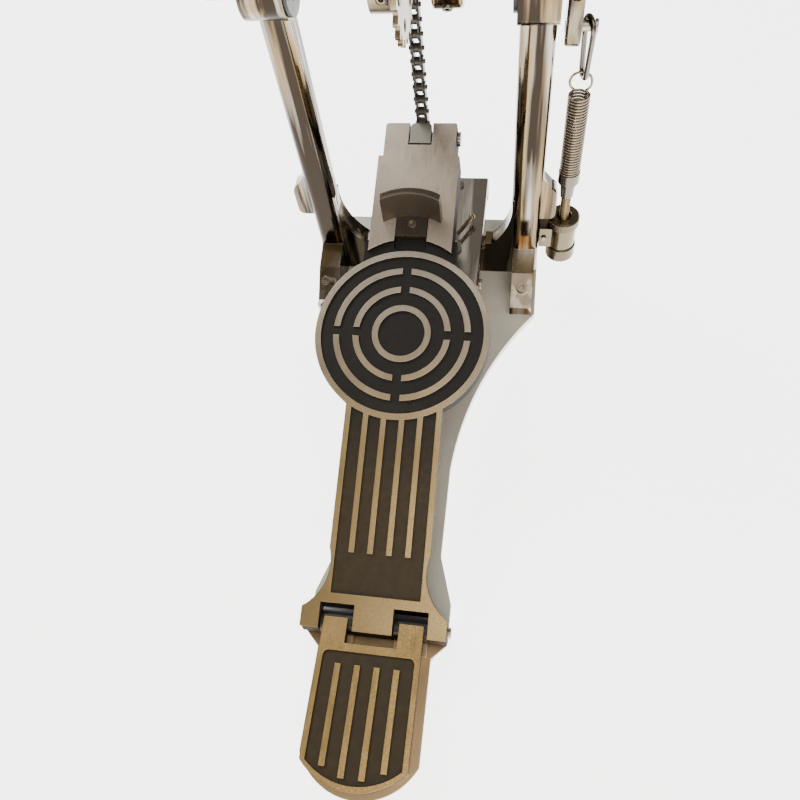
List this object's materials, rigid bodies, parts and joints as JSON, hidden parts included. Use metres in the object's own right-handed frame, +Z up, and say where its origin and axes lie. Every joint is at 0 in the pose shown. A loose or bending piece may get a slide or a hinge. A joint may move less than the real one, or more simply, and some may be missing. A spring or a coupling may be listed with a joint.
{
  "type": "bass drum pedal",
  "caption": "Bass drum pedal with cast footboard and heel plate, chain and sprocket drive, post frame, side return spring, felt beater and hoop clamp.",
  "frame": {"origin": "on the floor under the sole, on the centre plane of the footboard, between the heel and the hoop clamp", "axes": "+Z up, +Y from the heel towards the drum, +X to the player's right, the spring's side"},
  "size_m": [0.1959, 0.387, 0.3734],
  "materials": {
    "board_casting": "cast alloy, dark paint in the sunken panels, raised faces machined bare",
    "toe_stop_paint": "satin dark taupe",
    "base_enamel": "light grey satin",
    "sole_rubber": "matt ribbed",
    "frame_chrome": "polished plated casting",
    "bright_steel": "ground bright",
    "screw_steel": "zinc plated",
    "dark_steel": "blackened",
    "chain_black": "black oxide, worn bright on the plates",
    "end_block_alloy": "satin",
    "sprocket_nickel": "nickel plated",
    "spring_nickel": "nickel plated wire",
    "beater_plastic": "moulded black",
    "felt": "dense wool felt"
  },
  "bodies": {
    "base": {"sole_mat": "sole_rubber", "base_plate": "base_enamel", "frame_bolts": "screw_steel", "heel_bolts": "screw_steel", "bracket_bolts": "screw_steel", "heel_base": "frame_chrome", "heel_plate": "board_casting", "hinge_pin": "bright_steel", "hinge_barrels": "dark_steel", "bearing_outer_rings": "bright_steel", "bearing_covers": "dark_steel", "bearing_balls": "bright_steel", "post_frame": "frame_chrome", "spring_bracket": "sprocket_nickel", "bracket_stud": "bright_steel", "bracket_rivet": "screw_steel", "tension_cup": "sprocket_nickel", "clamp_bracket": "dark_steel", "clamp_pivot_pin": "bright_steel", "clamp_nut": "dark_steel", "hoop_pad_lower": "sole_rubber"},
    "footboard": {"footboard": "board_casting", "toe_stop": "toe_stop_paint", "toe_stop_screw": "screw_steel", "cross_pin": "bright_steel", "chain_end_block": "end_block_alloy", "chain_end_pin": "screw_steel"},
    "axle": {"axle": "bright_steel", "drive_sprocket": "sprocket_nickel", "sprocket_screw": "screw_steel", "bearing_inner_rings": "bright_steel", "beater_hub": "frame_chrome", "hub_screw": "screw_steel", "beater_key_bolt": "screw_steel", "spring_rocker": "frame_chrome", "rocker_screw": "screw_steel", "rocker_pin": "bright_steel", "chain_wrap": "chain_black"},
    "link_4": {"chain_link_4": "chain_black"},
    "link_3": {"chain_link_3": "chain_black"},
    "link_2": {"chain_link_2": "chain_black"},
    "link_1": {"chain_link_1": "chain_black"},
    "strand": {"chain_strand": "chain_black"},
    "beater": {"beater_shaft": "bright_steel", "beater_core": "beater_plastic", "beater_felt": "felt", "beater_hard_face": "beater_plastic"},
    "hook": {"spring_hook": "spring_nickel"},
    "spring_tail": {"return_spring": "spring_nickel"},
    "adjuster": {"tension_rod": "bright_steel", "spring_collar": "dark_steel"},
    "knob": {"tension_knob": "sprocket_nickel"},
    "clamp_plate": {"clamp_plate": "frame_chrome", "hoop_pad_upper": "sole_rubber", "clamp_rivets": "screw_steel"},
    "clamp_screw": {"clamp_screw": "bright_steel"},
    "tbar": {"clamp_tbar": "bright_steel"},
    "spur_left": {"spur_screw_left": "screw_steel"},
    "spur_right": {"spur_screw_right": "screw_steel"}
  },
  "joints": [
    {"name": "axle_turn", "type": "hinge", "parent": "base", "child": "axle", "pos_m": [0, 0.145, 0.205], "axis": [-1, 0, 0], "range_deg": [0, 67.97], "stiffness_Nm_per_rad": 0.25, "springref_deg": -20.05},
    {"name": "footboard_hinge", "type": "hinge", "parent": "base", "child": "footboard", "pos_m": [0, -0.109, 0.018], "axis": [-1, 0, 0], "range_deg": [0, 6.15]},
    {"name": "strand_swing", "type": "hinge", "parent": "footboard", "child": "strand", "pos_m": [0, 0.16781, 0.10831], "axis": [1, 0, 0], "range_deg": [0, 10.22]},
    {"name": "link_4_unwrap", "type": "hinge", "parent": "axle", "child": "link_4", "pos_m": [0, 0.15359, 0.22908], "axis": [1, 0, 0], "range_deg": [0, 9.01], "deforming": ["chain_link_1", "chain_link_2", "chain_link_3", "chain_link_4"]},
    {"name": "link_3_unwrap", "type": "hinge", "parent": "link_4", "child": "link_3", "pos_m": [0, 0.16062, 0.22525], "axis": [1, 0, 0], "range_deg": [0, 18.01]},
    {"name": "link_2_unwrap", "type": "hinge", "parent": "link_3", "child": "link_2", "pos_m": [0, 0.16611, 0.21943], "axis": [1, 0, 0], "range_deg": [0, 18.01]},
    {"name": "link_1_unwrap", "type": "hinge", "parent": "link_2", "child": "link_1", "pos_m": [0, 0.16953, 0.2122], "axis": [1, 0, 0], "range_deg": [0, 18.01]},
    {"name": "beater_height", "type": "slide", "parent": "axle", "child": "beater", "axis": [0, -0.6157, 0.788], "range_m": [-0.015, 0.015]},
    {"name": "hook_swing", "type": "hinge", "parent": "axle", "child": "hook", "pos_m": [0, 0.145, 0.183], "axis": [1, 0, 0], "range_deg": [0, 78.84]},
    {"name": "spring_stretch", "type": "slide", "parent": "hook", "child": "spring_tail", "axis": [0, 0, -1], "range_m": [0, 0.0157], "deforming": ["return_spring"]},
    {"name": "knob_turn", "type": "hinge", "parent": "base", "child": "knob", "pos_m": [0.088, 0.145, 0.054], "axis": [0, 0, 1], "range_deg": [0, 1080]},
    {"name": "adjuster_travel", "type": "slide", "parent": "base", "child": "adjuster", "axis": [0, 0, -1], "range_m": [0, 0.003]},
    {"name": "clamp_screw_turn", "type": "hinge", "parent": "base", "child": "clamp_screw", "pos_m": [0.0175, 0.1307, 0.03], "axis": [0, 0, -1], "range_deg": [0, 720]},
    {"name": "clamp_plate_tilt", "type": "hinge", "parent": "base", "child": "clamp_plate", "pos_m": [0, 0.108, 0.031], "axis": [-1, 0, 0], "range_deg": [0, 4.01]},
    {"name": "tbar_slide", "type": "slide", "parent": "clamp_screw", "child": "tbar", "axis": [0.4757, 0.8796, 0], "range_m": [-0.015, 0.015]},
    {"name": "spur_left_travel", "type": "slide", "parent": "base", "child": "spur_left", "axis": [0, 0.5736, -0.8192], "range_m": [0, 0.01]},
    {"name": "spur_right_travel", "type": "slide", "parent": "base", "child": "spur_right", "axis": [0, 0.5736, -0.8192], "range_m": [0, 0.01]}
  ],
  "couplings": [
    {"joint": "footboard_hinge", "follows": "axle_turn", "ratio": 0.090347},
    {"joint": "strand_swing", "follows": "axle_turn", "ratio": 0.14963},
    {"joint": "link_4_unwrap", "follows": "axle_turn", "ratio": 0.13241},
    {"joint": "link_3_unwrap", "follows": "axle_turn", "ratio": 0.26482},
    {"joint": "link_2_unwrap", "follows": "axle_turn", "ratio": 0.26482},
    {"joint": "link_1_unwrap", "follows": "axle_turn", "ratio": 0.26482},
    {"joint": "hook_swing", "follows": "axle_turn", "ratio": 1.1591},
    {"joint": "spring_stretch", "follows": "axle_turn", "m_per_rad": 0.013216},
    {"joint": "adjuster_travel", "follows": "knob_turn", "m_per_rad": 0.00015915},
    {"joint": "clamp_plate_tilt", "follows": "clamp_screw_turn", "ratio": 0.0055556}
  ]
}
